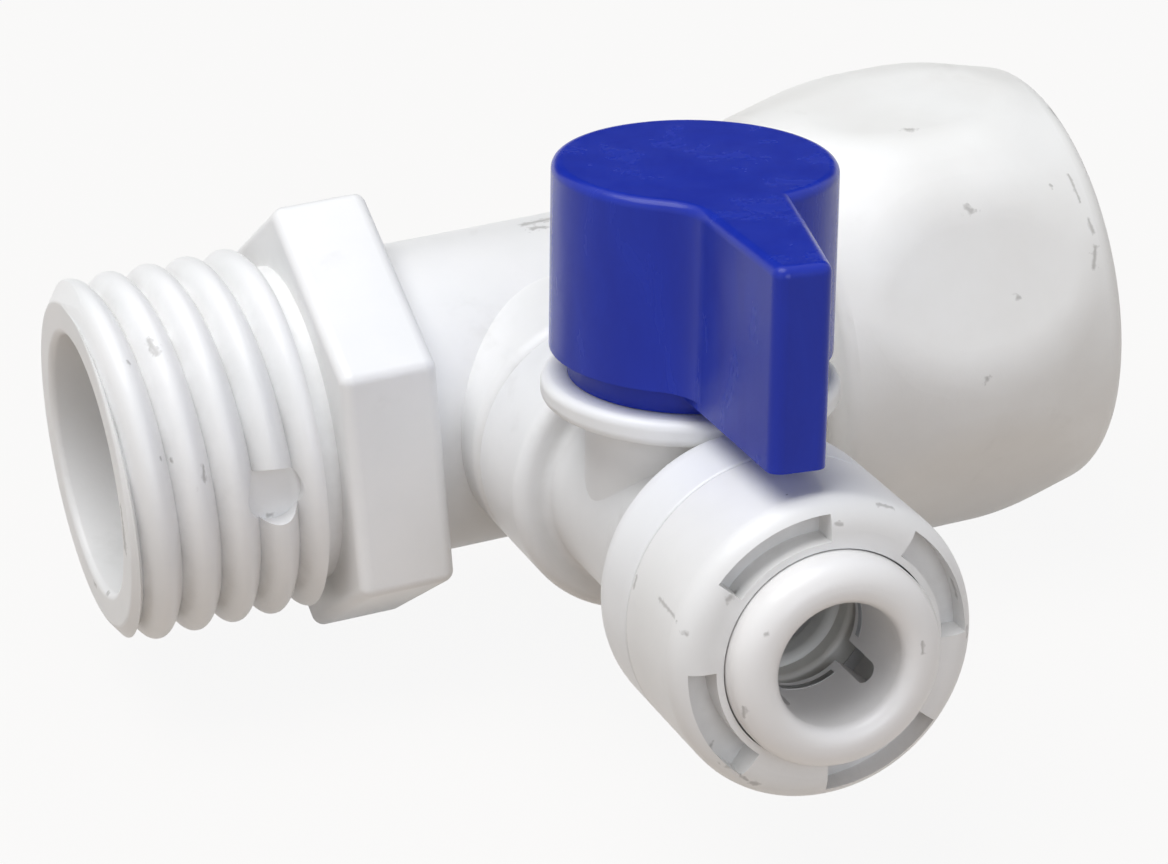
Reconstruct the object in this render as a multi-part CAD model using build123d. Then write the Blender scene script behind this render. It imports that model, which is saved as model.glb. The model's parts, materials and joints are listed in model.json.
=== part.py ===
from build123d import *
import os
from math import atan2, cos, pi, radians, sin, sqrt, tan

# Water inlet valve: a plastic tee with a male threaded end, a swivel nut at the other end,
# and a side branch that holds a quarter-turn ball valve and a push-fit tube outlet.
# Millimetres. +X runs from the male end to the nut, the outlet points to -Y, +Z is up.
# The origin is on the run axis, at the middle of the male thread.

# Driving sizes, run
thread_r = 10.4          # crest radius of the male thread
thread_len = 9.4         # length of the crested part
thread_pitch = 2.25
thread_depth = 1.25
thread_points = 8        # spline points on each side of the crest
lip_len = 0.8            # chamfered lip in front of the thread
lip_step = 1.1           # lip radius below the crest
lip_round = 0.3
bore_round = 0.4         # rounding of the bore's mouth
recess_r = 1.65          # round moulding recess across the last two crests
recess_deep = 1.35
recess_up = 0.15
recess_back = 1.97       # end of the thread to the recess's centre
neck_len = 2.0           # plain neck between thread and hexagon
neck_wall = 1.65
tube_wall = 1.55
hex_step = 0.8           # hexagon's flats above the crest
hex_len = 5.5
hex_round = 0.7
branch_gap = 9.2         # hexagon to the branch axis

# Driving sizes, swivel nut
nut_gap = 14.5           # branch axis to the nut's small end
nut_len = 17.4
nut_wide_from = 5.5      # small end to the start of the widest stretch
nut_front_len = 5.8      # taper from the end of that stretch to the big end
nut_mid_wall = 3.25      # walls over the socket's thread
nut_small_wall = 1.85
nut_big_wall = 1.8
nut_flat_wall = 2.38     # at the middle of each of the six flats
nut_flat_turn = 22.0     # degrees, first flat up from the outlet side
nut_flat_soft = 6.0      # rounding round each flat
nut_rim_round = 1.5
nut_mouth = 0.5          # chamfer at the socket's mouth
nut_lip_len = 3.0
nut_relief = 0.3         # extra radius round the washer
clip_wide = 1.2
clip_deep = 0.75
clip_proud = 1.05
nose_len = 1.6           # run tube beyond its clip
washer_thick = 2.0
washer_lap = 0.5         # washer's hole inside the run bore

# Driving sizes, branch
valve_turn = 5.0         # degrees the valve body is turned about its own axis
boss_r = 7.6
boss_proud = 2.65        # boss beyond the run tube
socket_sunk = 0.15       # socket floor below the run tube's surface
joint_ring_thick = 1.0
joint_ring_hole_r = 3.8
spigot_r = 5.6
port_r = 2.9
flange_len = 6.4
neck_r = 5.75
neck_round = 0.3
tower_r = 5.45
flange_to_stem = 5.5
stem_to_seam = 11.8
housing_back = 5.0       # rear of the push-fit housing behind its seam
housing_round = 1.9

# Driving sizes, ball and stem
ball_r = 3.9
ball_bore_r = 1.9
seat_near = 2.6          # ball centre to the near side of each seat
seat_far = 4.0
seat_hole_r = 2.05
slot_wide = 1.7
slot_deep = 1.3
stem_r = 2.5
stem_shoulder_r = 3.4
stem_shoulder_thick = 0.7
stem_shoulder_sunk = 2.4  # underside of the shoulder below the disc's top
stem_groove_wide = 0.8
stem_groove_land = 0.45  # shoulder to groove
stem_groove_deep = 0.6
disc_r = 7.85
disc_low = 6.9
disc_thick = 1.4
drive_wide = 3.4
drive_len = 5.7
stop_angle = 45.0        # degrees from +X, place of the stop lug
stop_half = 5.0
stop_in_r = 4.9
stop_out_r = 6.0
stop_high = 0.8
stop_root = 0.3

# Driving sizes, knob
knob_r = 7.42
knob_high = 11.6         # from the disc
knob_base_r = 6.45
knob_base_high = 1.5
knob_round = 0.55
lever_reach = 17.6
lever_left = -2.95
lever_tip = 2.95         # width of the lever's tip
lever_root = 2.5
lever_gap = 1.1          # disc to the lever's underside
lever_blend = 3.0
lever_tip_round = 0.7

# Driving sizes, push-fit
tube_bore_r = 3.3        # collet bore for the tube
tube_land = 2.5          # tube stop to the seal
ring_wide = 1.45
ring_thick = 1.8
ring_squeeze = 0.15
ring_back = 1.6          # seal behind the housing's seam
spacer_thick = 1.1
sleeve_wall = 1.8
cap_wall = 1.47
cap_len = 6.9
cap_round = 1.5
collet_wall = 0.9
collet_barb = 0.7
collet_barb_len = 1.0
collet_flange = 1.35
collet_proud = 1.9
collet_round = 1.35
collet_mouth = 0.8
collet_travel = 1.1
counter_deep = 1.6
finger_slot = 1.2
finger_root = 0.5        # slot end to the collet's flange
finger_turn = 54.0       # degrees from +X, place of the first slot
tooth_back = 0.4
tooth_thick = 0.4
tooth_bite = 0.03
tooth_sunk = 0.3
tooth_half = 26.0
pocket_gap = 0.45        # collet's flange to each pocket
pocket_rim = 0.67
pocket_deep = 1.6
pocket_span = 52.0
pocket_first = 27.0      # degrees from +X

# Named clearances
thread_play = 0.1        # nut's thread over the male thread, radial
run_clear = 0.08         # turning and sliding fits, radial
seat_clear = 0.05        # pieces that seat in a bore, radial
face_clear = 0.05        # faces that pass each other
end_clear = 0.1          # ends of pieces that move past a shoulder
clip_clear = 0.5         # clip inside the nut's thread
washer_clear = 0.35      # washer inside the nut's thread
tip_clear = 0.2          # collet's tip to the seal's spacer
tube_clear = 0.25        # tube in its pocket
chamber_clear = 0.3      # ball in its chamber
barb_clear = 0.5         # collet's barbs in the cap
stop_clear = 1.0         # degrees past each stop

# Derived places on the run
nut_thread_r = thread_r + thread_play
clip_r = nut_thread_r - clip_clear
tube_r = clip_r - clip_proud
run_bore_r = tube_r - tube_wall
neck_r_run = run_bore_r + neck_wall
washer_r = nut_thread_r - washer_clear
washer_hole_r = run_bore_r - washer_lap
lip_r = thread_r - lip_step
thread_start = -thread_len / 2
thread_end = thread_len / 2
lip_x = thread_start - lip_len
hex_across = 2 * (thread_r + hex_step)
hex_start = thread_end + neck_len
hex_end = hex_start + hex_len
branch_x = hex_end + branch_gap
nut_start = branch_x + nut_gap
nut_end = nut_start + nut_len
nut_wide_to = nut_len - nut_front_len
clip_start = nut_start + nut_lip_len + face_clear
clip_end = clip_start + clip_wide
nose_end = clip_end + nose_len
washer_start = nose_end + face_clear
washer_end = washer_start + washer_thick
nut_wall_start = washer_end + end_clear

# Roundings of the nut, limited by the walls they end on
nut_front_lean = atan2(nut_mid_wall - nut_big_wall, nut_front_len)
rim_reach = tan((pi / 2 - nut_front_lean) / 2)
rim_round = min(nut_rim_round, (nut_big_wall - nut_mouth - face_clear) / rim_reach)
flat_to_rim = (nut_flat_wall - nut_big_wall) / sin(nut_front_lean) - rim_round * rim_reach
between_flats = cos(pi / 6)
nut_flat_r = nut_thread_r + nut_flat_wall
nut_mid_r = nut_thread_r + nut_mid_wall
flat_soft = min(
    nut_flat_soft,
    (flat_to_rim - face_clear) / tan(nut_front_lean / 2),
    (nut_flat_r - nut_mid_r * between_flats - face_clear) / (1 - between_flats),
)

# Derived places on the branch, as distances from the run axis
socket_floor = tube_r - socket_sunk
joint_ring_end = socket_floor + joint_ring_thick
boss_end = tube_r + boss_proud
flange_end = boss_end + flange_len
stem_at = flange_end + flange_to_stem
housing_seam = stem_at + stem_to_seam
housing_start = housing_seam - housing_back
ring_seat_start = housing_seam - ring_back
tube_stop = ring_seat_start - tube_land
spacer_end = ring_seat_start + ring_thick + spacer_thick
cap_end = housing_seam + cap_len
counter_floor = cap_end - counter_deep
collet_tip = spacer_end + collet_travel + tip_clear
tooth_at = collet_tip + tooth_back
cavity_end = collet_tip + collet_barb_len
collet_flange_rear = counter_floor + collet_travel + end_clear
finger_slot_end = collet_flange_rear - finger_root
collet_end = cap_end + collet_proud

# Derived radii of the push-fit and the ball, from the tube outwards
tube_pocket_r = tube_bore_r + tube_clear
tube_ring_hole_r = tube_bore_r - ring_squeeze
tooth_in_r = tube_bore_r - tooth_bite
ring_seat_r = tube_bore_r + ring_wide
sleeve_r = ring_seat_r + sleeve_wall
housing_r = sleeve_r + seat_clear + cap_wall
collet_r = tube_bore_r + collet_wall
collet_tip_r = collet_r + collet_barb
tooth_out_r = collet_tip_r - tooth_sunk
cavity_r = collet_tip_r + barb_clear
collet_flange_r = collet_r + collet_flange
pocket_in_r = collet_flange_r + pocket_gap
pocket_out_r = housing_r - pocket_rim
cone_end = cavity_end + cavity_r - collet_r - run_clear
chamber_r = ball_r + chamber_clear
back_round = min(housing_round, housing_r - neck_r - neck_round - face_clear)

# Derived heights on the stem
disc_top = disc_low + disc_thick
stem_shoulder_low = disc_top - stem_shoulder_sunk
stem_shoulder_high = stem_shoulder_low + stem_shoulder_thick
stem_groove_high = stem_shoulder_low - stem_groove_land
stem_groove_low = stem_groove_high - stem_groove_wide
drive_top = disc_top + drive_len
knob_skirt = disc_top + knob_base_high
knob_top = disc_top + knob_high
lever_low = disc_top + lever_gap

valve_place = Pos(branch_x, 0, 0) * Rot(0, valve_turn, 0)
stem_place = Pos(0, -stem_at, 0)


def face_of(points, place):
    """Close a profile; a third number on a point rounds that corner."""
    sketch = make_face(Polyline(*[place(p) for p in points], close=True))
    for p in points:
        if len(p) == 3:
            corner = Vector(*place(p))
            near = sketch.vertices().sort_by(lambda v: (Vector(*v) - corner).length)[:1]
            sketch = fillet(near, p[2])
    return sketch


def about_x(points):
    """Turn (x, radius) points about the run axis."""
    return revolve(face_of(points, lambda p: (p[0], p[1], 0)), Axis.X)


def about_branch(points):
    """Turn (distance, radius) points about the branch axis."""
    return revolve(face_of(points, lambda p: (p[1], -p[0], 0)), Axis.Y)


def about_stem(points):
    """Turn (height, radius) points about the stem axis."""
    return stem_place * revolve(face_of(points, lambda p: (p[1], 0, p[0])), Axis.Z)


def sector(start, end, inner, outer, low, high):
    """Part ring between two angles about Z."""
    span = end - start
    face = make_face(Polyline((inner, 0, low), (outer, 0, low), (outer, 0, high), (inner, 0, high), close=True))
    return Rot(0, 0, start) * revolve(face, Axis.Z, span)


def thread_blank():
    """One cross-section, broad round crest to narrow root, twisted a full turn for each pitch."""
    points = []
    for i in range(-thread_points, thread_points + 1):
        share = i / thread_points
        r = thread_r - thread_depth * abs(share) ** 2.2
        points.append((r * cos(pi * share), r * sin(pi * share)))
    points[-1] = points[0]
    section = make_face(Spline(*points)).face()
    length = thread_end + neck_len * 0.4 - lip_x
    blank = Solid.extrude_linear_with_rotation(section, (0, 0, 0), (0, 0, length), 360 * length / thread_pitch)
    return Part() + Pos(lip_x, 0, 0) * Rot(0, 90, 0) * blank


# Tee body: male thread, hexagon, run tube, boss and clip groove in one moulding
clear_of_crest = 0.5
thread = thread_blank() & about_x([
    (lip_x, run_bore_r, bore_round),
    (lip_x, lip_r, lip_round),
    (thread_start + clear_of_crest * lip_len / lip_step, thread_r + clear_of_crest),
    (hex_start, thread_r + clear_of_crest),
    (hex_start, run_bore_r),
])
recess = Pos(thread_end - recess_back, -thread_r, recess_up) * Rot(90, 0, 0) * Cylinder(recess_r, 2 * recess_deep)
thread -= recess
tube = about_x([
    (thread_end, run_bore_r),
    (thread_end, neck_r_run),
    (hex_start + 1.0, neck_r_run),
    (hex_start + 1.0, tube_r),
    (clip_start, tube_r),
    (clip_start, tube_r - clip_deep),
    (clip_end, tube_r - clip_deep),
    (clip_end, tube_r),
    (nose_end, tube_r, 0.4),
    (nose_end, run_bore_r),
])
hexagon = extrude(Plane.YZ.offset(hex_start) * RegularPolygon(hex_across / sqrt(3), 6, rotation=90), hex_len)
hexagon = fillet(hexagon.edges(), hex_round)
hexagon -= Pos(hex_start + hex_len / 2, 0, 0) * Rot(0, 90, 0) * Cylinder(run_bore_r, hex_len + 2)
boss = Pos(branch_x, 0, 0) * about_branch([
    (0, 0),
    (0, boss_r),
    (boss_end, boss_r, 0.9),
    (boss_end, 0),
])
boss -= Pos(branch_x, 0, 0) * Rot(0, 90, 0) * Cylinder(run_bore_r, 4 * boss_r)
tee_body = thread + tube + hexagon + boss
tee_body -= Pos(branch_x, 0, 0) * about_branch([
    (0, 0),
    (0, port_r),
    (socket_floor, port_r),
    (socket_floor, spigot_r + seat_clear),
    (boss_end + 1, spigot_r + seat_clear),
    (boss_end + 1, 0),
])

# Swivel nut: barrel with six flats, captive lip and plain socket wall
barrel = about_x([
    (nut_start, tube_r + run_clear),
    (nut_start, nut_thread_r + nut_small_wall, 0.8),
    (nut_start + nut_wide_from, nut_mid_r, 18.0),
    (nut_start + nut_wide_to, nut_mid_r, 14.0),
    (nut_end, nut_thread_r + nut_big_wall, rim_round),
    (nut_end, nut_thread_r + nut_mouth),
    (nut_end - nut_mouth, nut_thread_r),
    (nut_wall_start, nut_thread_r),
    (nut_wall_start - nut_relief, nut_thread_r + nut_relief),
    (nut_start + nut_lip_len, nut_thread_r + nut_relief),
    (nut_start + nut_lip_len, tube_r + run_clear),
])
flats = RegularPolygon(nut_flat_r * 2 / sqrt(3), 6, rotation=30 + 180 - nut_flat_turn)
swivel_nut = barrel & extrude(Plane.YZ.offset(nut_start - 1) * flats, nut_len + 2)
flat_faces = [f for f in swivel_nut.faces().filter_by(GeomType.PLANE) if abs(f.normal_at().X) < 0.01]
swivel_nut = fillet([e for f in flat_faces for e in f.edges()], flat_soft)

# Split clip that keeps the nut on the run tube
clip = about_x([
    (clip_start, tube_r - clip_deep),
    (clip_start, clip_r),
    (clip_end, clip_r),
    (clip_end, tube_r - clip_deep),
])
nut_clip = clip - Pos(clip_start, 0, -tube_r) * Box(4 * clip_wide, 4.0, 2 * tube_r - 4)

nut_washer = about_x([
    (washer_start, washer_hole_r),
    (washer_start, washer_r, 0.3),
    (washer_end, washer_r, 0.3),
    (washer_end, washer_hole_r),
])

# Valve body: spigot, flange, neck with ball chamber, stem tower with disc, rear of the push-fit
valve = about_branch([
    (joint_ring_end, 0),
    (joint_ring_end, spigot_r, 0.2),
    (boss_end, spigot_r),
    (boss_end, boss_r - 0.45),
    (boss_end + 0.45, boss_r, 0.3),
    (flange_end, boss_r, 0.8),
    (flange_end, neck_r, 0.5),
    (housing_start, neck_r, neck_round),
    (housing_start, housing_r, back_round),
    (housing_seam, housing_r, 0.2),
    (housing_seam, sleeve_r),
    (spacer_end, sleeve_r),
    (spacer_end, 0),
])
tower = about_stem([
    (0, 0),
    (0, tower_r),
    (disc_low, tower_r),
    (disc_low, disc_r, 0.5),
    (disc_top, disc_r, 0.5),
    (disc_top, 0),
])
lug_wide = 2 * stop_out_r * sin(radians(stop_half))
lug = Pos((stop_in_r + stop_out_r) / 2, 0, disc_top + (stop_high - stop_root) / 2) * Box(
    stop_out_r - stop_in_r, lug_wide, stop_high + stop_root)
tower += stem_place * Rot(0, 0, stop_angle) * lug
valve += tower
valve -= about_branch([
    (0, 0),
    (0, chamber_r),
    (stem_at + seat_far, chamber_r),
    (stem_at + seat_far, seat_hole_r),
    (tube_stop, seat_hole_r),
    (tube_stop, tube_pocket_r),
    (ring_seat_start, tube_pocket_r),
    (ring_seat_start, ring_seat_r),
    (spacer_end + 1, ring_seat_r),
    (spacer_end + 1, 0),
])
valve -= about_stem([(0, 0), (0, stem_r + run_clear), (stem_shoulder_low, stem_r + run_clear),
                     (stem_shoulder_low, stem_shoulder_r + run_clear), (disc_top + 1, stem_shoulder_r + run_clear),
                     (disc_top + 1, 0)])
valve_body = valve_place * valve

joint_ring = valve_place * about_branch([
    (socket_floor, joint_ring_hole_r, 0.3),
    (socket_floor, spigot_r - 0.1, 0.3),
    (joint_ring_end, spigot_r - 0.1, 0.3),
    (joint_ring_end, joint_ring_hole_r, 0.3),
])

ball_sleeve = valve_place * about_branch([
    (joint_ring_end, port_r),
    (joint_ring_end, chamber_r - seat_clear, 0.2),
    (stem_at - seat_far, chamber_r - seat_clear),
    (stem_at - seat_far, seat_hole_r + 0.6),
])

# Ball, its seats and its stem
sphere = stem_place * Sphere(ball_r)
ball = sphere - stem_place * Rot(90, 0, 0) * Cylinder(ball_bore_r, 4 * ball_r)
ball -= stem_place * Pos(0, 0, ball_r) * Box(slot_wide, 4 * ball_r, 2 * slot_deep)
ball = valve_place * ball


def seat(side):
    """Ring with a hollow face that bears on the ball."""
    near = stem_at + side * seat_near
    far = stem_at + side * seat_far
    body = about_branch([(near, seat_hole_r), (near, chamber_r - seat_clear), (far, chamber_r - seat_clear),
                         (far, seat_hole_r)])
    return body - stem_place * Sphere(ball_r + face_clear)


seat_in = valve_place * seat(-1)
seat_out = valve_place * seat(1)

shaft = about_stem([
    (ball_r * 0.5, 0),
    (ball_r * 0.5, stem_r),
    (stem_groove_low, stem_r),
    (stem_groove_low, stem_r - stem_groove_deep),
    (stem_groove_high, stem_r - stem_groove_deep),
    (stem_groove_high, stem_r),
    (stem_shoulder_low + face_clear, stem_r),
    (stem_shoulder_low + face_clear, stem_shoulder_r),
    (stem_shoulder_high, stem_shoulder_r),
    (stem_shoulder_high, stem_r),
    (disc_top + 0.2, stem_r),
    (disc_top + 0.2, 0),
])
tang = stem_place * Pos(0, 0, ball_r) * Box(slot_wide - 2 * face_clear, 2 * stem_r, 2 * slot_deep - 2 * face_clear)
shaft = shaft - stem_place * Sphere(ball_r + face_clear)
shaft += tang & about_stem([(0, 0), (0, stem_r), (stem_groove_low, stem_r), (stem_groove_low, 0)])
drive = stem_place * Pos(0, 0, disc_top + drive_len / 2) * Box(drive_wide, drive_wide, drive_len)
stem = valve_place * (shaft + chamfer(drive.edges().group_by(Axis.Z)[-1], 0.4))

stem_ring = valve_place * about_stem([
    (stem_groove_low + face_clear, stem_r - stem_groove_deep, 0.2),
    (stem_groove_low + face_clear, stem_r + run_clear / 2, 0.25),
    (stem_groove_high - face_clear, stem_r + run_clear / 2, 0.25),
    (stem_groove_high - face_clear, stem_r - stem_groove_deep, 0.2),
])

stem_bush = valve_place * about_stem([
    (stem_shoulder_high + face_clear, stem_r + run_clear),
    (stem_shoulder_high + face_clear, stem_shoulder_r + run_clear - face_clear),
    (disc_top - 0.1, stem_shoulder_r + run_clear - face_clear),
    (disc_top - 0.1, stem_r + run_clear),
])

# Knob: drum with a lever along the outlet, base ring and square socket
drum = about_stem([
    (disc_top + face_clear, 0),
    (disc_top + face_clear, knob_base_r),
    (knob_skirt, knob_base_r),
    (knob_skirt, knob_r),
    (knob_top, knob_r),
    (knob_top, 0),
])
root_left = sqrt(knob_r ** 2 - lever_left ** 2)
lever_face = make_face(Polyline(
    (lever_left, -lever_reach),
    (lever_left + lever_tip, -lever_reach),
    (lever_root, -knob_r * 0.9),
    (lever_root, 0),
    (lever_left, 0),
    close=True,
))
lever_face = fillet(lever_face.vertices().sort_by(Axis.Y)[:2], lever_tip_round)
lever = stem_place * Pos(0, 0, lever_low) * extrude(lever_face, knob_top - lever_low)
knob_solid = drum + lever
blend = knob_solid.edges().filter_by(Axis.Z).sort_by(
    lambda e: (e.center() - Vector(lever_left, -stem_at - root_left, e.center().Z)).length)[:1]
knob_solid = fillet(blend, lever_blend)
knob_solid = fillet(knob_solid.edges().group_by(Axis.Z)[-1], knob_round)
socket = stem_place * Pos(0, 0, disc_top + (drive_len + 0.3) / 2) * Box(
    drive_wide + 2 * seat_clear, drive_wide + 2 * seat_clear, drive_len + 0.3)
knob_solid -= socket
knob_solid -= stem_place * Pos(0, 0, disc_top + 0.15) * Cylinder(stem_r + 0.2, 0.5)
knob_solid -= stem_place * sector(stop_angle - stop_half - stop_clear, stop_angle + 90 + stop_half + stop_clear,
                                  stop_in_r - 0.2, knob_base_r + 1.2, disc_top, disc_top + stop_high + 0.2)
knob = valve_place * knob_solid

# Push-fit cap with four arc pockets in its face
cap = about_branch([
    (housing_seam, sleeve_r + seat_clear),
    (housing_seam, housing_r, 0.2),
    (cap_end, housing_r, cap_round),
    (cap_end, collet_flange_r + run_clear),
    (counter_floor, collet_flange_r + run_clear),
    (counter_floor, collet_r + run_clear),
    (cone_end, collet_r + run_clear),
    (cavity_end, cavity_r),
    (spacer_end, cavity_r),
    (spacer_end, sleeve_r + seat_clear),
])
for i in range(4):
    mid = pocket_first + 90 * i
    pocket = sector(mid - pocket_span / 2, mid + pocket_span / 2, pocket_in_r, pocket_out_r, 0, pocket_deep + 1)
    cap -= Pos(0, -cap_end + pocket_deep, 0) * Rot(90, 0, 0) * pocket
push_fit_cap = valve_place * cap

# Collet with four fingers, and the steel tooth in each finger
collet_solid = about_branch([
    (collet_tip, tube_bore_r),
    (collet_tip, collet_tip_r - 0.3),
    (collet_tip + 0.3, collet_tip_r),
    (cone_end - collet_tip_r + collet_r, collet_tip_r),
    (cone_end, collet_r),
    (collet_flange_rear, collet_r),
    (collet_flange_rear, collet_flange_r, 0.2),
    (collet_end, collet_flange_r, collet_round),
    (collet_end, tube_bore_r, collet_mouth),
])
slot_len = finger_slot_end - collet_tip - finger_slot / 2
for i in range(2):
    cut = Pos(0, -collet_tip - slot_len / 2 + 0.5, 0) * Box(finger_slot, slot_len + 1, 4 * collet_r)
    cut += Pos(0, -collet_tip - slot_len, 0) * Cylinder(finger_slot / 2, 4 * collet_r)
    collet_solid -= Rot(0, -finger_turn - 90 * i, 0) * Rot(0, 90, 0) * cut
teeth = []
for i in range(4):
    mid = finger_turn + 45 + 90 * i
    blade = sector(mid - tooth_half, mid + tooth_half, tooth_in_r, tooth_out_r, 0, tooth_thick)
    blade = Pos(0, -tooth_at, 0) * Rot(90, 0, 0) * blade
    teeth.append(blade)
    collet_solid -= blade
collet = valve_place * collet_solid

tube_ring = valve_place * about_branch([
    (ring_seat_start, tube_ring_hole_r, 0.5),
    (ring_seat_start, ring_seat_r - seat_clear, 0.5),
    (ring_seat_start + ring_thick, ring_seat_r - seat_clear, 0.5),
    (ring_seat_start + ring_thick, tube_ring_hole_r, 0.5),
])

ring_spacer = valve_place * about_branch([
    (ring_seat_start + ring_thick, tube_pocket_r),
    (ring_seat_start + ring_thick, ring_seat_r - seat_clear),
    (spacer_end, ring_seat_r - seat_clear),
    (spacer_end, tube_pocket_r, 0.3),
])

pieces = {
    "tee_body": tee_body,
    "swivel_nut": swivel_nut,
    "nut_clip": nut_clip,
    "nut_washer": nut_washer,
    "valve_body": valve_body,
    "joint_ring": joint_ring,
    "ball_sleeve": ball_sleeve,
    "ball": ball,
    "seat_in": seat_in,
    "seat_out": seat_out,
    "stem": stem,
    "stem_ring": stem_ring,
    "stem_bush": stem_bush,
    "knob": knob,
    "push_fit_cap": push_fit_cap,
    "collet": collet,
    "tube_ring": tube_ring,
    "ring_spacer": ring_spacer,
}
for i, blade in enumerate(teeth):
    pieces[f"collet_tooth_{i + 1}"] = valve_place * blade

os.makedirs("parts", exist_ok=True)
for name, piece in pieces.items():
    export_step(piece, f"parts/{name}.step")
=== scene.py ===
import json
import math

import bpy
from mathutils import Euler, Matrix, Vector


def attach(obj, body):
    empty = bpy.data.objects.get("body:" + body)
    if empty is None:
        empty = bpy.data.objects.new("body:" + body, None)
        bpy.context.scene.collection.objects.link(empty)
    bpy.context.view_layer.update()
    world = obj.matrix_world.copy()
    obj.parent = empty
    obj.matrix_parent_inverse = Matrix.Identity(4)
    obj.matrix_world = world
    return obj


MM = 0.001

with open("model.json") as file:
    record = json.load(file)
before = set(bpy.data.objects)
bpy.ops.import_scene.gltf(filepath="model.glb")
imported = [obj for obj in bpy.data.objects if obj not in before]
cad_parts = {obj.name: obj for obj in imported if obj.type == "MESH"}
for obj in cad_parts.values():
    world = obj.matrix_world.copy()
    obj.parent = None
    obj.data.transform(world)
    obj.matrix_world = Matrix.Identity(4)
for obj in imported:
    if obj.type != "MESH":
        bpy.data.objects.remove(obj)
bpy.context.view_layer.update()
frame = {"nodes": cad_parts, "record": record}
nodes = frame["nodes"]

# Typical IOR of the two main plastics
ACETAL_IOR = 1.48
ABS_IOR = 1.54

# Patterns on the white plastic, in millimetres.
# The real skin grain is finer, and this one is coarse enough to show.
FLOW_CLOUD = 7.0
DIRT_PATCH = 2.2
# How far the painted shade in the creases, which is partly dust, reaches
CREASE_SHADE_REACH = 1.5
SMEAR_PATCH = 11.0
SHEEN_PATCH = 1.6
SINK_WAVE = 3.5
SKIN_GRAIN = 0.25
SPECK_GAP = 4.5
CAP_SPECK_GAP = 2.6
RAGGED_EDGE = 0.3

# Patterns on the blue knob, in millimetres, with a skin grain that is coarse enough to show
FLOW_STREAK = 2.4
RUB_PATCH = 0.9
KNOB_SINK_WAVE = 5.0
KNOB_GRAIN = 0.3

# Patterns on the inner pieces, in millimetres. The steel's real grain is finer than the one that shows.
INNER_CLOUD = 2.5
MOULD_GRAIN = 0.3
STEEL_GRAIN = 0.08

# Patterns on the stage, in millimetres
PAPER_CLOUD = 90.0
FELT_NAP = 2.0

# What soils the white plastic, and the painted shade in its creases, which is partly dust
CREASE_SHADE_AND_DUST = "#8C8478"
SMEAR = "#9A948B"
SPECK = "#6E665C"
MARK = "#625B53"
SMEAR_STRENGTH = 0.14
SPECK_STRENGTH = 0.5
MARK_STRENGTH = 0.42

WHITE = "#FFFFFF"


# Colours and nodes. A colour Mix has its factor in 0, its colours in 6 and 7, and its result in 2.

def linear(code):
    """sRGB hex to linear RGBA."""
    values = [int(code[i:i + 2], 16) / 255 for i in (1, 3, 5)]
    return [v / 12.92 if v <= 0.04045 else ((v + 0.055) / 1.055) ** 2.4 for v in values] + [1.0]


def add(tree, kind, out, ins, **settings):
    """Add a node with its settings, fill or link its inputs, and give one output, or the node for None."""
    made = tree.nodes.new("ShaderNode" + kind)
    for key, value in settings.items():
        setattr(made, key, value)
    for key, value in ins.items():
        socket = made.inputs[key]
        if isinstance(value, bpy.types.NodeSocket):
            tree.links.new(value, socket)
        else:
            socket.default_value = value
    return made if out is None else made.outputs[out]


def new_material(name):
    """An empty material, its node tree and the piece's own coordinates in metres."""
    mat = bpy.data.materials.new(name)
    mat.use_nodes = True
    tree = mat.node_tree
    tree.nodes.clear()
    return mat, tree, add(tree, "TexCoord", "Object", {})


def finish_material(tree, settings):
    shader = add(tree, "BsdfPrincipled", 0, settings)
    add(tree, "OutputMaterial", None, {"Surface": shader})


# Dark marks on the white plastic

def laid_on(piece, streaks):
    """Streaks of start, end and radius in millimetres, moved to the nearest points of a piece's surface."""
    nearest = nodes[piece].closest_point_on_mesh
    return [(nearest(Vector(start) * MM)[1], nearest(Vector(end) * MM)[1], radius * MM)
            for start, end, radius in streaks]


def marked(tree, coords, marks):
    """Darkness of the marks: full along the middle of each streak, and fading raggedly towards its radius."""
    ragged = add(tree, "TexNoise", "Fac", {"Vector": coords, "Scale": 1 / (RAGGED_EDGE * MM), "Detail": 3.0})
    spread = add(tree, "Math", 0, {0: ragged, 1: 3.0, 2: -0.5}, operation="MULTIPLY_ADD")
    total = None
    for start, end, radius in marks:
        run = end - start
        offset = add(tree, "VectorMath", 0, {0: coords, 1: start}, operation="SUBTRACT")
        along = add(tree, "VectorMath", "Value", {0: offset, 1: run}, operation="DOT_PRODUCT")
        share = add(tree, "MapRange", 0, {"Value": along, "From Max": run.length_squared})
        nearest = add(tree, "VectorMath", 0, {0: run, 1: share, 2: start}, operation="MULTIPLY_ADD")
        gap = add(tree, "VectorMath", "Value", {0: coords, 1: nearest}, operation="DISTANCE")
        uneven = add(tree, "Math", 0, {0: gap, 1: spread}, operation="MULTIPLY")
        inside = add(tree, "MapRange", 0, {"Value": uneven, "From Min": radius, "From Max": radius * 0.2})
        total = inside if total is None else add(tree, "Math", 0, {0: total, 1: inside}, operation="MAXIMUM")
    return total


# Materials

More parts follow.
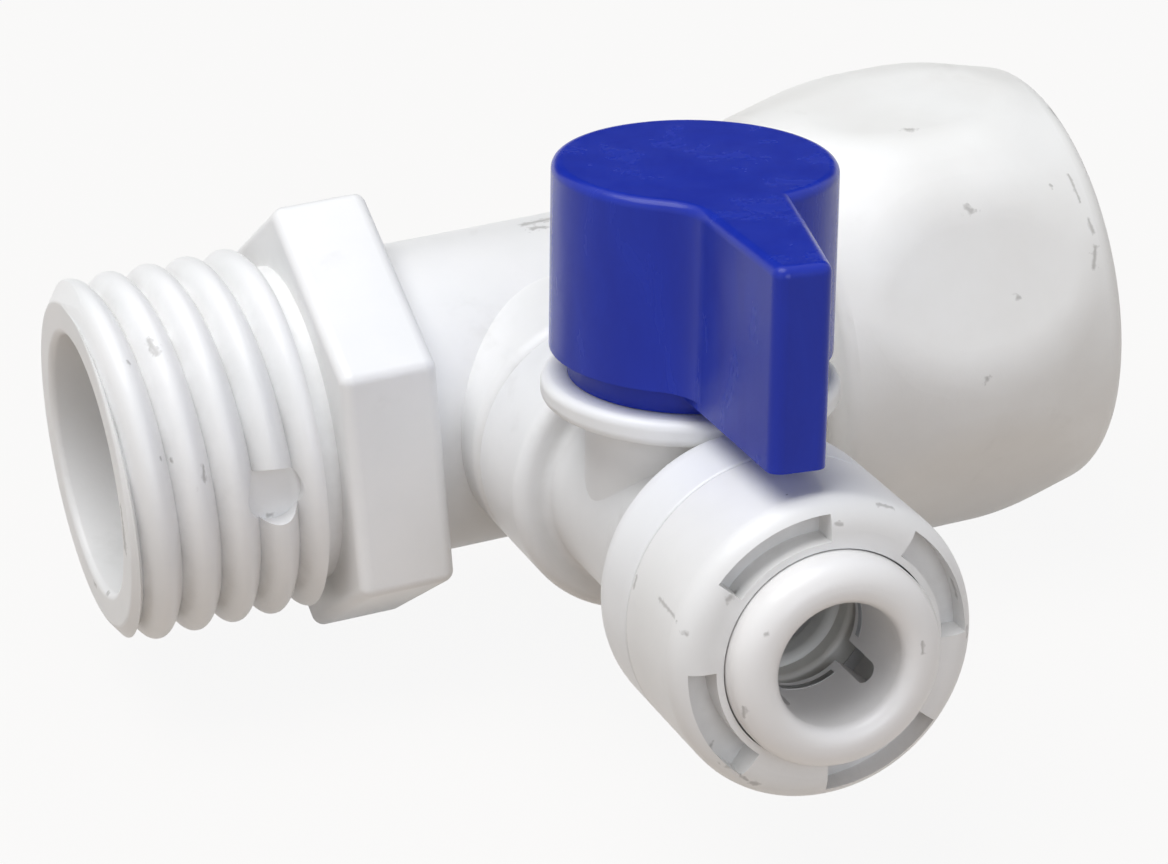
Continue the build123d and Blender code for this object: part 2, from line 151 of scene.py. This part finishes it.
def moulded_white(name, base, shade, ior, rough, crease_shade, marks=(), speck_gap=SPECK_GAP):
    """White moulded plastic. The skin is satin and faintly clouded where the melt flowed. Painted shade,
    partly dust, greys the creases, handling leaves faint smears, and small dark specks lie in cells speck_gap
    millimetres wide."""
    mat, tree, coords = new_material(name)
    cloud = add(tree, "TexNoise", "Fac", {"Vector": coords, "Scale": 1 / (FLOW_CLOUD * MM), "Detail": 4.0})
    cloudy = add(tree, "MapRange", 0, {"Value": cloud, "From Min": 0.35, "From Max": 0.7})
    colour = add(tree, "Mix", 2, {0: cloudy, 6: linear(base), 7: linear(shade)}, data_type="RGBA")

    # Painted shade, partly dust, darkens the creases unevenly where little open sky is left
    patch = add(tree, "TexNoise", "Fac", {"Vector": coords, "Scale": 1 / (DIRT_PATCH * MM), "Detail": 4.0,
                                          "Roughness": 0.65})
    open_sky = add(tree, "AmbientOcclusion", "AO", {"Distance": CREASE_SHADE_REACH * MM}, samples=1)
    shut = add(tree, "MapRange", 0, {"Value": open_sky, "From Min": 0.72, "From Max": 0.18, "To Max": crease_shade})
    uneven = add(tree, "MapRange", 0, {"Value": patch, "From Min": 0.35, "From Max": 0.65, "To Min": 0.25})
    crease_shade_and_dust = add(tree, "Math", 0, {0: shut, 1: uneven}, operation="MULTIPLY")
    colour = add(tree, "Mix", 2, {0: crease_shade_and_dust, 6: colour, 7: linear(CREASE_SHADE_AND_DUST)}, data_type="RGBA")

    # Smears from handling
    wide = add(tree, "TexNoise", "Fac", {"Vector": coords, "Scale": 1 / (SMEAR_PATCH * MM), "Detail": 5.0,
                                         "Roughness": 0.7, "Distortion": 0.6})
    where = add(tree, "MapRange", 0, {"Value": wide, "From Min": 0.60, "From Max": 0.74})
    streaky = add(tree, "MapRange", 0, {"Value": patch, "From Min": 0.45, "From Max": 0.62,
                                        "To Max": SMEAR_STRENGTH})
    smear = add(tree, "Math", 0, {0: where, 1: streaky}, operation="MULTIPLY")
    colour = add(tree, "Mix", 2, {0: smear, 6: colour, 7: linear(SMEAR)}, data_type="RGBA")

    # About one cell in five holds a speck
    cells = add(tree, "TexVoronoi", None, {"Vector": coords, "Scale": 1 / (speck_gap * MM)})
    chance = add(tree, "SeparateColor", None, {0: cells.outputs["Color"]})
    size = add(tree, "Math", 0, {0: chance.outputs[1], 1: 0.045}, operation="MULTIPLY")
    near = add(tree, "Math", 0, {0: cells.outputs["Distance"], 1: size}, operation="LESS_THAN")
    rare = add(tree, "Math", 0, {0: chance.outputs[0], 1: 0.8}, operation="GREATER_THAN")
    speck = add(tree, "Math", 0, {0: near, 1: rare}, operation="MULTIPLY")
    speck = add(tree, "Math", 0, {0: speck, 1: SPECK_STRENGTH}, operation="MULTIPLY")
    colour = add(tree, "Mix", 2, {0: speck, 6: colour, 7: linear(SPECK)}, data_type="RGBA")
    if marks:
        dark = add(tree, "Math", 0, {0: marked(tree, coords, marks), 1: MARK_STRENGTH}, operation="MULTIPLY")
        colour = add(tree, "Mix", 2, {0: dark, 6: colour, 7: linear(MARK)}, data_type="RGBA")

    # Satin skin over shallow sinks
    sheen = add(tree, "TexNoise", "Fac", {"Vector": coords, "Scale": 1 / (SHEEN_PATCH * MM), "Detail": 3.0})
    gloss = add(tree, "MapRange", 0, {"Value": sheen, "To Min": rough - 0.07, "To Max": rough + 0.07})
    skin = add(tree, "TexNoise", "Fac", {"Vector": coords, "Scale": 1 / (SKIN_GRAIN * MM), "Detail": 2.0})
    sink = add(tree, "TexNoise", "Fac", {"Vector": coords, "Scale": 1 / (SINK_WAVE * MM), "Detail": 2.0})
    height = add(tree, "Math", 0, {0: sink, 1: 2.5, 2: skin}, operation="MULTIPLY_ADD")
    normal = add(tree, "Bump", 0, {"Strength": 0.25, "Distance": 0.02 * MM, "Height": height})
    finish_material(tree, {"Base Color": colour, "Roughness": gloss, "Normal": normal, "IOR": ior})
    return mat


def moulded_blue(name):
    """Blue moulded ABS. The colour streaks along the flow, fine rubs lighten it, and the gloss is soft."""
    mat, tree, coords = new_material(name)
    flow = add(tree, "Mapping", 0, {"Vector": coords, "Scale": (1.0, 1.0, 0.3)})
    streak = add(tree, "TexNoise", "Fac", {"Vector": flow, "Scale": 1 / (FLOW_STREAK * MM), "Detail": 4.0,
                                           "Roughness": 0.6, "Distortion": 0.4})
    streaky = add(tree, "MapRange", 0, {"Value": streak, "From Min": 0.35, "From Max": 0.68})
    colour = add(tree, "Mix", 2, {0: streaky, 6: linear("#1A2EA4"), 7: linear("#1F35AE")}, data_type="RGBA")
    rub = add(tree, "TexNoise", "Fac", {"Vector": coords, "Scale": 1 / (RUB_PATCH * MM), "Detail": 5.0,
                                        "Roughness": 0.75})
    rubbed = add(tree, "MapRange", 0, {"Value": rub, "From Min": 0.66, "From Max": 0.78, "To Max": 0.07})
    colour = add(tree, "Mix", 2, {0: rubbed, 6: colour, 7: linear("#4C60C4")}, data_type="RGBA")
    gloss = add(tree, "MapRange", 0, {"Value": streak, "To Min": 0.18, "To Max": 0.34})
    skin = add(tree, "TexNoise", "Fac", {"Vector": coords, "Scale": 1 / (KNOB_GRAIN * MM), "Detail": 2.0})
    sink = add(tree, "TexNoise", "Fac", {"Vector": coords, "Scale": 1 / (KNOB_SINK_WAVE * MM), "Detail": 2.0})
    height = add(tree, "Math", 0, {0: sink, 1: 5.0, 2: skin}, operation="MULTIPLY_ADD")
    normal = add(tree, "Bump", 0, {"Strength": 0.22, "Distance": 0.03 * MM, "Height": height})
    finish_material(tree, {"Base Color": colour, "Roughness": gloss, "Normal": normal, "IOR": ABS_IOR,
                           "Specular IOR Level": 0.22})
    return mat


def inner_piece(name, base, shade, rough, grain, **settings):
    """Pieces inside the valve: a plain base with light clouding and a grain given in millimetres."""
    mat, tree, coords = new_material(name)
    cloud = add(tree, "TexNoise", "Fac", {"Vector": coords, "Scale": 1 / (INNER_CLOUD * MM), "Detail": 3.0})
    colour = add(tree, "Mix", 2, {0: cloud, 6: linear(base), 7: linear(shade)}, data_type="RGBA")
    gloss = add(tree, "MapRange", 0, {"Value": cloud, "To Min": rough - 0.06, "To Max": rough + 0.06})
    skin = add(tree, "TexNoise", "Fac", {"Vector": coords, "Scale": 1 / (grain * MM), "Detail": 2.0})
    normal = add(tree, "Bump", 0, {"Strength": 0.2, "Distance": 0.02 * MM, "Height": skin})
    finish_material(tree, {"Base Color": colour, "Roughness": gloss, "Normal": normal, **settings})
    return mat


# Marks seen on the real pieces: start, end and radius in millimetres
tee_marks = laid_on("tee_body", [
    ((-2.3, -5.5, 8.7), (-2.1, -6.3, 8.2), 0.26),
    ((-3.8, -6.3, 8.1), (-3.7, -6.4, 8.0), 0.17),
    ((-3.3, -9.4, 3.5), (-3.3, -9.4, 3.4), 0.13),
    ((-2.7, -9.0, 3.1), (-2.6, -9.0, 3.0), 0.15),
    ((-1.1, -9.8, 2.6), (-1.2, -10.0, 2.0), 0.20),
    ((2.4, -9.1, -1.3), (2.6, -9.1, -1.3), 0.16),
    ((-5.5, 1.4, -7.9), (-5.5, 1.0, -7.9), 0.18),
    ((-5.4, -1.3, -7.4), (-5.4, -1.6, -7.4), 0.18),
    ((-5.5, -8.1, 0.5), (-5.5, -8.1, -0.7), 0.22),
    ((-5.5, -8.1, -0.7), (-5.5, -7.9, -2.0), 0.34),
    ((21.6, 0.5, 9.0), (23.3, 0.6, 8.9), 0.36),
    ((21.8, -0.4, 8.9), (22.5, -0.5, 8.9), 0.28),
])
cap_marks = laid_on("push_fit_cap", [
    ((14.0, -35.6, 3.3), (13.8, -35.7, 2.7), 0.12),
    ((14.0, -38.6, 3.3), (14.0, -40.5, 3.2), 0.14),
    ((14.0, -40.5, 3.2), (14.2, -41.7, 2.6), 0.11),
    ((17.0, -41.3, 4.1), (16.9, -41.3, 4.0), 0.22),
    ((16.4, -42.2, 4.3), (16.2, -42.2, 4.2), 0.20),
    ((22.1, -42.2, 6.9), (22.4, -42.2, 6.8), 0.14),
    ((15.5, -40.6, -4.2), (15.5, -40.7, -4.3), 0.16),
    ((15.5, -41.8, -4.5), (16.8, -41.9, -5.9), 0.13),
    ((17.0, -41.9, -6.1), (17.2, -41.9, -6.2), 0.22),
    ((24.5, -41.4, 7.0), (25.4, -41.5, 6.8), 0.13),
    ((28.5, -41.2, 2.0), (28.8, -41.3, 1.2), 0.26),
    ((29.0, -41.8, -0.4), (29.0, -41.8, -0.9), 0.18),
])
collet_marks = laid_on("collet", [
    ((17.4, -43.9, 2.8), (17.5, -43.9, 2.8), 0.15),
    ((25.5, -44.1, 0.6), (25.5, -44.1, 0.0), 0.11),
    ((16.2, -43.5, -1.0), (16.2, -43.4, -1.6), 0.14),
])
nut_marks = laid_on("swivel_nut", [
    ((43.2, -5.0, 12.3), (43.5, -5.2, 12.2), 0.26),
    ((46.4, -12.4, 3.8), (46.5, -12.4, 3.8), 0.19),
    ((43.7, -13.7, -0.1), (43.7, -13.7, -0.2), 0.18),
    ((44.4, -10.2, 8.9), (44.6, -10.3, 8.7), 0.26),
    ((52.8, -4.2, 11.5), (52.8, -4.7, 11.3), 0.26),
    ((51.5, -8.9, 9.2), (51.6, -10.0, 7.8), 0.15),
    ((51.8, -10.6, 6.9), (51.9, -11.0, 6.3), 0.18),
    ((51.8, -11.5, 5.5), (51.4, -12.0, 4.5), 0.20),
    ((50.0, -9.5, 9.0), (50.1, -9.6, 9.0), 0.14),
])

# Each white piece is given a strength for the painted shade in its creases, which is partly dust
# Moulded acetal: a cool white with a satin skin
acetal_tee = moulded_white("moulded_acetal_tee", "#F6F6F6", "#F0F1F1", ior=ACETAL_IOR, rough=0.40, crease_shade=0.22,
                           marks=tee_marks)
acetal_valve = moulded_white("moulded_acetal_valve", "#F3F4F5", "#ECEDEE", ior=ACETAL_IOR, rough=0.38,
                             crease_shade=0.40)
acetal_cap = moulded_white("moulded_acetal_cap", "#F3F3F3", "#ECECEB", ior=ACETAL_IOR, rough=0.38, crease_shade=0.32,
                           marks=cap_marks, speck_gap=CAP_SPECK_GAP)
acetal_collet = moulded_white("moulded_acetal_collet", "#F7F6F6", "#F2F1F0", ior=ACETAL_IOR, rough=0.33,
                              crease_shade=0.05, marks=collet_marks)
# Moulded ABS: a warmer white and a duller skin on the nut, and a deep blue on the knob
abs_nut = moulded_white("moulded_abs_nut", "#F5F5F3", "#EEEDEA", ior=ABS_IOR, rough=0.42, crease_shade=0.30,
                        marks=nut_marks)
abs_knob = moulded_blue("moulded_abs_blue")
# Moulded nylon: a creamy white with a satin skin
nylon = inner_piece("moulded_nylon", "#EFEEE9", "#E7E5DE", rough=0.42, grain=MOULD_GRAIN, IOR=1.53)
# Turned PTFE: a chalky white without a clear highlight
ptfe = inner_piece("turned_ptfe", "#F4F4F2", "#ECECEA", rough=0.50, grain=MOULD_GRAIN, IOR=1.35)
# Moulded silicone: a milky white with a dull skin
silicone = inner_piece("moulded_silicone_white", "#EDEDEA", "#E6E6E2", rough=0.50, grain=MOULD_GRAIN,
                       IOR=1.41)
# Moulded EPDM rubber: black and matt
rubber = inner_piece("moulded_epdm_rubber", "#1B1B1C", "#262626", rough=0.62, grain=MOULD_GRAIN, IOR=1.5)
# Stamped stainless steel: a bright, soft mirror with a fine grain
steel = inner_piece("stamped_stainless_steel", "#D2D2D2", "#C6C6C7", rough=0.34, grain=STEEL_GRAIN,
                    Metallic=1.0)

# The pieces that wear each material
wears = {
    acetal_tee: ["tee_body"],
    acetal_valve: ["valve_body"],
    acetal_cap: ["push_fit_cap"],
    acetal_collet: ["collet"],
    abs_nut: ["swivel_nut"],
    abs_knob: ["knob"],
    nylon: ["nut_clip", "ball_sleeve", "ball", "stem", "stem_bush", "ring_spacer"],
    ptfe: ["seat_in", "seat_out"],
    silicone: ["tube_ring"],
    rubber: ["nut_washer", "joint_ring", "stem_ring"],
    steel: ["collet_tooth_1", "collet_tooth_2", "collet_tooth_3", "collet_tooth_4"],
}
for mat, names in wears.items():
    for name in names:
        nodes[name].data.materials.clear()
        nodes[name].data.materials.append(mat)


# Fine thread in the nut's socket

def mesh_object(name, verts, faces, mat):
    mesh = bpy.data.meshes.new(name)
    mesh.from_pydata(verts, [], faces)
    mesh.update()
    made = bpy.data.objects.new(name, mesh)
    bpy.context.scene.collection.objects.link(made)
    made.data.materials.append(mat)
    return made


def thread_ridge(name, start, end, pitch, wall_r, tip_r, mat):
    """Helical ridge standing inwards from a socket wall along x, tapered to nothing at both ends."""
    steps = 64
    fade_steps = 0.35 * steps
    section = ((-0.46, 0.0), (-0.12, 1.0), (0.12, 1.0), (0.46, 0.0))
    count = int(steps * (end - start) / pitch)
    width = len(section)
    verts = []
    for i in range(count + 1):
        angle = 2 * math.pi * i / steps
        fade = min(1.0, i / fade_steps, (count - i) / fade_steps)
        for along, rise in section:
            r = (wall_r - (wall_r - tip_r) * rise * fade) * MM
            x = (start + pitch * (i / steps + along)) * MM
            verts.append((x, r * math.cos(angle), r * math.sin(angle)))
    faces = []
    for i in range(count):
        for j in range(width):
            a = i * width + j
            b = i * width + (j + 1) % width
            faces.append((a, b, b + width, a + width))
    faces.append(tuple(reversed(range(width))))
    faces.append(tuple(count * width + j for j in range(width)))
    return mesh_object(name, verts, faces, mat)


# The ridge in millimetres: its roots reach just into the socket's wall
THREAD_PITCH = 1.814
THREAD_DEPTH = 1.1
THREAD_BITE = 0.02
LEAD_IN = 1.0
RUN_OUT = 1.1
socket = next(mount for mount in frame["record"]["mounts"] if mount["name"] == "nut_thread")
socket_r = socket["dims"]["r_mm"]
socket_middle = socket["pos_m"][0] / MM
socket_half = socket["dims"]["length_mm"] / 2
thread_from = socket_middle - socket_half + LEAD_IN
thread_to = socket_middle + socket_half - RUN_OUT
nut_thread = thread_ridge("nut_thread", thread_from, thread_to, THREAD_PITCH, socket_r + THREAD_BITE,
                          socket_r - THREAD_DEPTH, abs_nut)
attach(nut_thread, "nut")


# Stage, light and camera, in metres

# The floor stays clear of the nut's corners as it turns
FLOOR_Z = -14.6 * MM
FLOOR_HALF = 3.0
FLOOR_WHITE_SHARE = 0.92
VIEW_TARGET = Vector((0.022, -0.012, 0.0))


def area_light(name, place, size, power, tint):
    data = bpy.data.lights.new(name, "AREA")
    data.shape = "DISK"
    data.size = size
    data.energy = power
    data.color = linear(tint)[:3]
    made = bpy.data.objects.new(name, data)
    made.location = place
    made.rotation_euler = (VIEW_TARGET - Vector(place)).to_track_quat("-Z", "Y").to_euler()
    bpy.context.scene.collection.objects.link(made)


def background_rays(tree):
    """1 for rays that look at the background, straight on or in a gloss or glass."""
    path = add(tree, "LightPath", None, {}).outputs
    seen = add(tree, "Math", 0, {0: path["Is Camera Ray"], 1: path["Is Glossy Ray"]}, operation="MAXIMUM")
    return add(tree, "Math", 0, {0: seen, 1: path["Is Transmission Ray"]}, operation="MAXIMUM")


# Studio paper: white to the eye, and a warm grey in the light that it sends back to the object
paper, paper_tree, paper_coords = new_material("studio_paper")
fibre = add(paper_tree, "TexNoise", "Fac", {"Vector": paper_coords, "Scale": 1 / (PAPER_CLOUD * MM)})
paper_tone = add(paper_tree, "Mix", 2, {0: fibre, 6: linear("#B2A597"), 7: linear("#AEA193")},
                 data_type="RGBA")
paper_lit = add(paper_tree, "BsdfDiffuse", 0, {"Color": paper_tone})
paper_white = add(paper_tree, "Emission", 0, {"Color": linear(WHITE), "Strength": 1.0})
paper_share = add(paper_tree, "Math", 0, {0: background_rays(paper_tree), 1: FLOOR_WHITE_SHARE},
                  operation="MULTIPLY")
paper_mix = add(paper_tree, "MixShader", 0, {0: paper_share, 1: paper_lit, 2: paper_white})
add(paper_tree, "OutputMaterial", None, {"Surface": paper_mix})
floor_corners = [(x * FLOOR_HALF, y * FLOOR_HALF, FLOOR_Z) for x, y in ((-1, -1), (1, -1), (1, 1), (-1, 1))]
floor = mesh_object("floor", floor_corners, [(0, 1, 2, 3)], paper)

# Black felt: a matt, near-black card behind the object. It stands out of the picture, and the tops mirror it
# in place of the white room.
felt, felt_tree, felt_coords = new_material("black_felt")
nap = add(felt_tree, "TexNoise", "Fac", {"Vector": felt_coords, "Scale": 1 / (FELT_NAP * MM)})
felt_tone = add(felt_tree, "Mix", 2, {0: nap, 6: linear("#1A1A1C"), 7: linear("#242426")}, data_type="RGBA")
felt_lit = add(felt_tree, "BsdfDiffuse", 0, {"Color": felt_tone})
add(felt_tree, "OutputMaterial", None, {"Surface": felt_lit})
FLAG_LEFT = (-0.39, 1.09)
FLAG_RIGHT = (1.03, 0.63)
FLAG_FOOT = 0.12
FLAG_TOP = 1.0
flag_corners = [(*FLAG_LEFT, FLAG_FOOT), (*FLAG_RIGHT, FLAG_FOOT),
                (*FLAG_RIGHT, FLAG_TOP), (*FLAG_LEFT, FLAG_TOP)]
flag = mesh_object("flag", flag_corners, [(0, 1, 2, 3)], felt)

area_light("key_top", (-0.14, -0.04, 0.60), size=0.55, power=3.3, tint=WHITE)
area_light("fill_left", (-0.60, -0.30, 0.20), size=0.6, power=0.34, tint="#F3F7FF")
area_light("fill_front", (0.02, -0.70, 0.22), size=0.4, power=1.05, tint="#F0F5FF")
area_light("fill_right", (0.55, -0.40, 0.25), size=0.6, power=0.12, tint="#F3F7FF")

world = bpy.data.worlds.new("studio")
bpy.context.scene.world = world
world.use_nodes = True
sky = world.node_tree
sky.nodes.clear()
sky_lit = add(sky, "Background", 0, {"Color": linear("#F4F6FA"), "Strength": 0.29})
sky_seen = add(sky, "Background", 0, {"Color": linear(WHITE), "Strength": 1.0})
sky_mix = add(sky, "MixShader", 0, {0: background_rays(sky), 1: sky_lit, 2: sky_seen})
add(sky, "OutputWorld", None, {"Surface": sky_mix})

# The camera's place in millimetres and its turn about x, y and z in degrees
CAMERA_AT = Vector((-49.84, -213.87, 90.75))
CAMERA_TURN = (68.266, 4.272, -19.809)
camera_data = bpy.data.cameras.new("camera")
camera_data.sensor_fit = "HORIZONTAL"
camera_data.sensor_width = 36.0
camera_data.lens = 129.45
camera_data.shift_x = 0.06176
camera_data.shift_y = -0.06572
camera_data.clip_start = 0.005
camera_data.clip_end = 20.0
camera = bpy.data.objects.new("camera", camera_data)
bpy.context.scene.collection.objects.link(camera)
camera.matrix_world = Matrix.LocRotScale(CAMERA_AT * MM, Euler(map(math.radians, CAMERA_TURN)), None)
bpy.context.scene.camera = camera

bpy.context.scene.view_settings.view_transform = "Standard"
